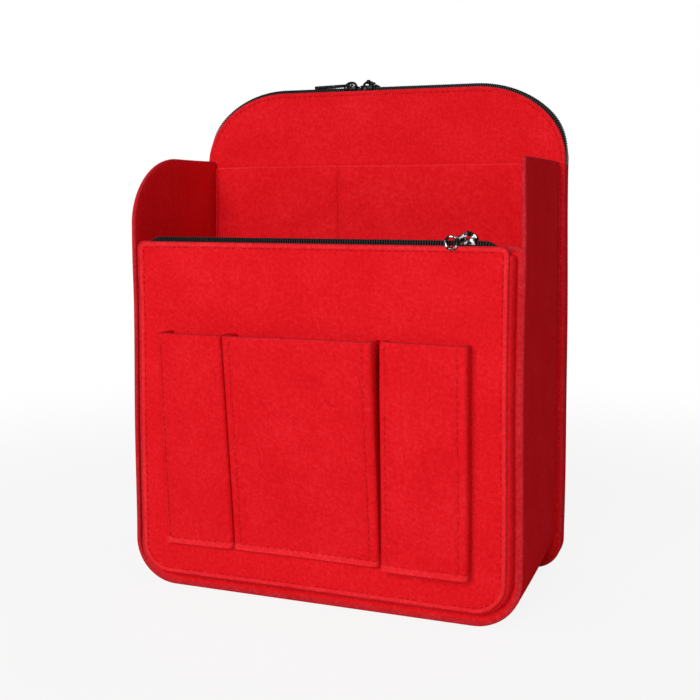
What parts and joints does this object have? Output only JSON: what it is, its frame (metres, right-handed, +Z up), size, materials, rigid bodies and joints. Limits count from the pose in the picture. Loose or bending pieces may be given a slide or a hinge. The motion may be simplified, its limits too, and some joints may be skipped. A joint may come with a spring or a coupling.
{
  "type": "purse organizer insert",
  "caption": "Open box of thick felt that stands inside a bag, with a zipped front pocket, outer pockets, inner slip pockets and a tall zipped sleeve at the back.",
  "frame": {"origin": "middle of the base's underside, on the surface that the insert stands on", "axes": "+Z up, +X to the right seen from the front, and the front with its outer pockets faces -Y"},
  "size_m": [0.278, 0.1586, 0.346],
  "materials": {
    "red_felt": "needled wool-blend felt, matt",
    "zip_tape": "woven black tape",
    "zip_teeth": "moulded black teeth, satin",
    "gunmetal": "die-cast, dark gunmetal plating"
  },
  "bodies": {
    "organizer": {"side_base_gusset": "red_felt", "main_front_panel": "red_felt", "inner_slip_panel": "red_felt", "front_zip_panel": "red_felt", "front_pocket_edge": "red_felt", "outer_pocket_left": "red_felt", "outer_pocket_middle": "red_felt", "outer_pocket_right": "red_felt", "sleeve_front_panel": "red_felt", "sleeve_rear_panel": "red_felt", "sleeve_edge": "red_felt", "front_zip_tape_outer": "zip_tape", "front_zip_tape_inner": "zip_tape", "front_zip_teeth_outer": "zip_teeth", "front_zip_teeth_inner": "zip_teeth", "sleeve_zip_tape_front": "zip_tape", "sleeve_zip_tape_rear": "zip_tape", "sleeve_zip_teeth_front": "zip_teeth", "sleeve_zip_teeth_rear": "zip_teeth"},
    "front_slider": {"front_zip_slider": "gunmetal"},
    "front_pull": {"front_zip_pull": "gunmetal"},
    "sleeve_slider_left": {"sleeve_zip_slider_left": "gunmetal"},
    "sleeve_pull_left": {"sleeve_zip_pull_left": "gunmetal"},
    "sleeve_slider_right": {"sleeve_zip_slider_right": "gunmetal"},
    "sleeve_pull_right": {"sleeve_zip_pull_right": "gunmetal"}
  },
  "joints": [
    {"name": "front_zip_slide", "type": "slide", "parent": "organizer", "child": "front_slider", "axis": [1, 0, 0], "range_m": [-0.2065, 0.0115]},
    {"name": "front_pull_swing", "type": "hinge", "parent": "front_slider", "child": "front_pull", "pos_m": [0.0992, -0.061, 0.2381], "axis": [-1, 0, 0], "range_deg": [0, 150]},
    {"name": "sleeve_left_slide", "type": "slide", "parent": "organizer", "child": "sleeve_slider_left", "axis": [1, 0, 0], "range_m": [-0.045, 0.0005]},
    {"name": "sleeve_left_pull_swing", "type": "hinge", "parent": "sleeve_slider_left", "child": "sleeve_pull_left", "pos_m": [-0.0215, 0.0655, 0.3419], "axis": [0, 1, 0], "range_deg": [0, 150]},
    {"name": "sleeve_right_slide", "type": "slide", "parent": "organizer", "child": "sleeve_slider_right", "axis": [1, 0, 0], "range_m": [-0.0005, 0.0725]},
    {"name": "sleeve_right_pull_swing", "type": "hinge", "parent": "sleeve_slider_right", "child": "sleeve_pull_right", "pos_m": [-0.0085, 0.0655, 0.3436], "axis": [1, 0, 0], "range_deg": [0, 150]}
  ]
}
